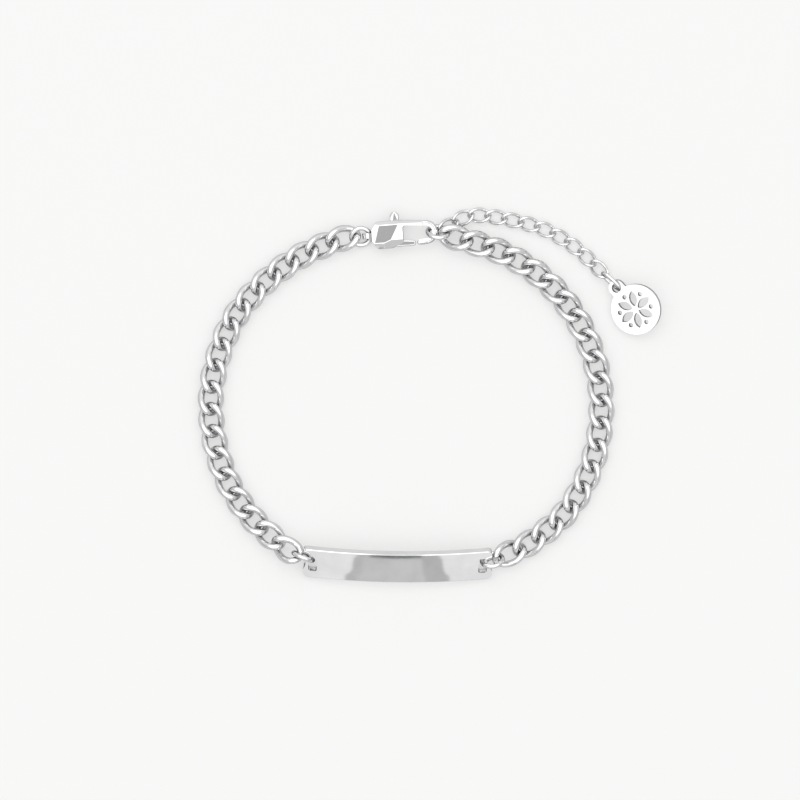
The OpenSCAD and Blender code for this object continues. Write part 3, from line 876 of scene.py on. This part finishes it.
sheet_nodes.links.new(ray.outputs["Is Glossy Ray"], glow.inputs["Value"])
sheet_nodes.links.new(ray.outputs["Is Glossy Ray"], paper.inputs["Factor"])
sheet_nodes.links.new(paper.outputs["Result"], paper_shader.inputs["Base Color"])
sheet_nodes.links.new(glow.outputs["Result"], paper_shader.inputs["Emission Strength"])
table.data.materials.append(sheet)
print("table laid:", table.dimensions.x, "m wide")

# %% [markdown]
# ## The room
# A mirror has no look of its own, so the room is what gives the silver its greys. It is drawn in the
# world's background from the direction of each ray: how far up, north or east it points. A colour ramp
# turns each of these numbers into a grey, and maths nodes bring the greys together. A room of meshes
# would do as well, but a drawn one renders faster and its greys can be set one by one.

# %% Helpers for numbers and greys in the world
world = bpy.data.worlds.new("studio")
bpy.context.scene.world = world
world.use_nodes = True
room_nodes = world.node_tree


def feed(socket, value):
    """Sets a socket to a number, or links it to another socket."""
    if isinstance(value, (int, float)):
        socket.default_value = value
    else:
        room_nodes.links.new(value, socket)


def greys(source, *stops):
    """A grey that follows a number from 0 to 1 through a few stops."""
    ramp = node(room_nodes, "ShaderNodeValToRGB")
    elements = ramp.color_ramp.elements
    for i, (position, grey) in enumerate(stops):
        stop = elements[i] if i < 2 else elements.new(position)
        stop.position, stop.color = position, (grey, grey, grey, 1)
    feed(ramp.inputs["Fac"], source)
    return ramp.outputs["Color"]


def maths(operation, a, b, kind="ShaderNodeMath"):
    """Two numbers, or two colours with the vector kind, brought together."""
    made = node(room_nodes, kind)
    made.operation = operation
    feed(made.inputs[0], a)
    feed(made.inputs[1], b)
    return made.outputs[0]


print("world:", world.name)

# %% [markdown]
# ## Walls and ceiling
# The walls darken towards the table, which outlines every round wire. The ceiling is brighter than
# white, which lights the tops, and the far side of the room is a little brighter than the near one.

# %% Set the walls and the ceiling
direction = node(room_nodes, "ShaderNodeTexCoord")
parts = node(room_nodes, "ShaderNodeSeparateXYZ")
feed(parts.inputs["Vector"], direction.outputs["Generated"])
east, north, up = (parts.outputs[axis] for axis in "XYZ")
south = maths("MULTIPLY", north, -1)
walls = greys(up, (0.0, 0.1), (0.08, 0.34), (0.18, 0.56), (0.6, 0.72), (0.72, 1.5), (1.0, 1.5))
far_side = greys(north, (0.0, 0.0), (0.8, 0.3))
ceiling = maths("ADD", walls, far_side, "ShaderNodeVectorMath")
print("walls and ceiling set")

# %% [markdown]
# ## The camera's own shadow in the mirror
# A flat face that looks straight up mirrors the camera, which is why the clasp's face is dark in the
# photograph although the ceiling is bright. The camera is a round dark spot a little to one side, and
# its stand is a column that leaves the rest of the ceiling as it was.

# %% Darken the ceiling where the camera is
spot_west = 0.07
camera_side = maths("POWER", maths("ADD", east, spot_west), 2)
off_middle = maths("POWER", maths("ADD", camera_side, maths("POWER", north, 2)), 0.5)
below = maths("LESS_THAN", up, 0)
spot = greys(maths("ADD", off_middle, below), (0.0, 0.3), (0.08, 0.36), (0.1, 1.0))
off_column = maths("ADD", maths("ABSOLUTE", east, 0), below)
column = maths("MAXIMUM", greys(off_column, (0.055, 0.22), (0.075, 1.0)),
               greys(north, (0.18, 1.0), (0.22, 0.0), (0.36, 0.0), (0.4, 1.0)))
room = maths("MULTIPLY", ceiling, maths("MINIMUM", spot, column), "ShaderNodeVectorMath")
print("camera's shadow set")

# %% [markdown]
# ## The panels that the name plate mirrors
# The plate leans back, so it mirrors a low strip of the room in front. There stand two bright panels
# with a grey gap between them, which gives the plate its grey middle with a darker stripe at each side.
# The gap flares towards the table and narrows at its top, where a dark slit closes it.

# %% Stand the panels in front
panel_south = 0.87
flare = greys(up, (0.198, 0.96), (0.213, 0.9), (0.232, 0.87), (0.292, 0.87), (0.303, 0.84), (0.315, 0.76))
panel_distance = maths("MULTIPLY", flare, maths("MAXIMUM", south, 0.05))
sideways = maths("ADD", maths("DIVIDE", maths("MULTIPLY", east, panel_south), panel_distance), 0.5)
panels = greys(sideways, (0.0, 0.62), (0.2, 0.92), (0.349, 0.94), (0.356, 0.54), (0.38, 0.58), (0.388, 0.64),
               (0.557, 0.66), (0.567, 0.54), (0.621, 0.54), (0.628, 0.94), (0.8, 0.92), (1.0, 0.62))
slit = maths("MAXIMUM", greys(up, (0.305, 1.0), (0.309, 0.22), (0.4, 0.22), (0.42, 1.0)),
             greys(sideways, (0.385, 1.0), (0.398, 0.0), (0.558, 0.0), (0.572, 1.0)))
front = maths("MULTIPLY", panels, slit, "ShaderNodeVectorMath")
low_front = maths("MULTIPLY", greys(up, (0.1, 0.0), (0.16, 1.0), (0.42, 1.0), (0.52, 0.0)),
                  greys(south, (0.3, 0.0), (0.6, 1.0)))
print("panels set")

# %% [markdown]
# ## Room and panels together
# The panels stand only low in front. Two ramps, one for how high and one for how far south a ray points,
# are multiplied to a mask, and the mask fades the panels into the room. Without the fade their ends
# would show as hard lines on the round links.

# %% Show the panels low in front and the room elsewhere
mixed = node(room_nodes, "ShaderNodeMix")
mixed.data_type = "RGBA"
feed(mixed.inputs["Factor"], low_front)
feed(mixed.inputs["A"], room)
feed(mixed.inputs["B"], front)
background = room_nodes.nodes["Background"]
background.inputs["Strength"].default_value = 1
feed(background.inputs["Color"], mixed.outputs["Result"])
print("world nodes:", len(room_nodes.nodes))

# %% [markdown]
# ## A softbox
# The room alone lights everything evenly. One large, weak area light behind the far edge of the table
# lets the shadows fall towards the viewer, as in the photograph. The Standard view transform keeps the
# ground's white as it is, where a film-like one would grey it.

# %% A softbox over the far edge of the table
softbox_at = Vector((-0.15, 0.5, 0.9))
bpy.ops.object.light_add(type="AREA", location=softbox_at)
softbox = bpy.context.object
softbox.name = "softbox"
softbox.data.shape = "RECTANGLE"
softbox.data.size, softbox.data.size_y = 0.7, 0.5
softbox.data.energy = 1
softbox.rotation_euler = softbox_at.to_track_quat("Z", "Y").to_euler()
bpy.context.scene.view_settings.view_transform = "Standard"
print("softbox:", softbox.data.energy, "W")
